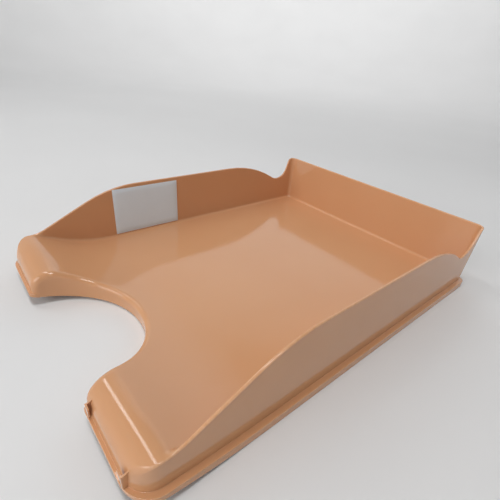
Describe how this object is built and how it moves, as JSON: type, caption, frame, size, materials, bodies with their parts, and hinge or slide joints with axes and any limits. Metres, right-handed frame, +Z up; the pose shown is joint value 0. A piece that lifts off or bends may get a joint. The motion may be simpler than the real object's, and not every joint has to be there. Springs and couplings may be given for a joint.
{
  "type": "letter tray",
  "caption": "Stacking desk tray for A4 or C4 paper: open top, curved side walls, a lip with a wide finger notch, a card holder on the lip and a skirt round the base.",
  "frame": {"origin": "on the table, under the middle of the tray's overall box", "axes": "+X to the right of someone facing the open front, +Y to the back wall, +Z up"},
  "size_m": [0.2536, 0.346, 0.064],
  "materials": {
    "tray_plastic": "moulded apricot plastic, glossy, with faint moulding ripple and handling marks",
    "label_paper": "plain white self-adhesive paper, matt"
  },
  "bodies": {
    "root": {"tray_moulding": "tray_plastic", "wall_label": "label_paper"}
  },
  "joints": []
}
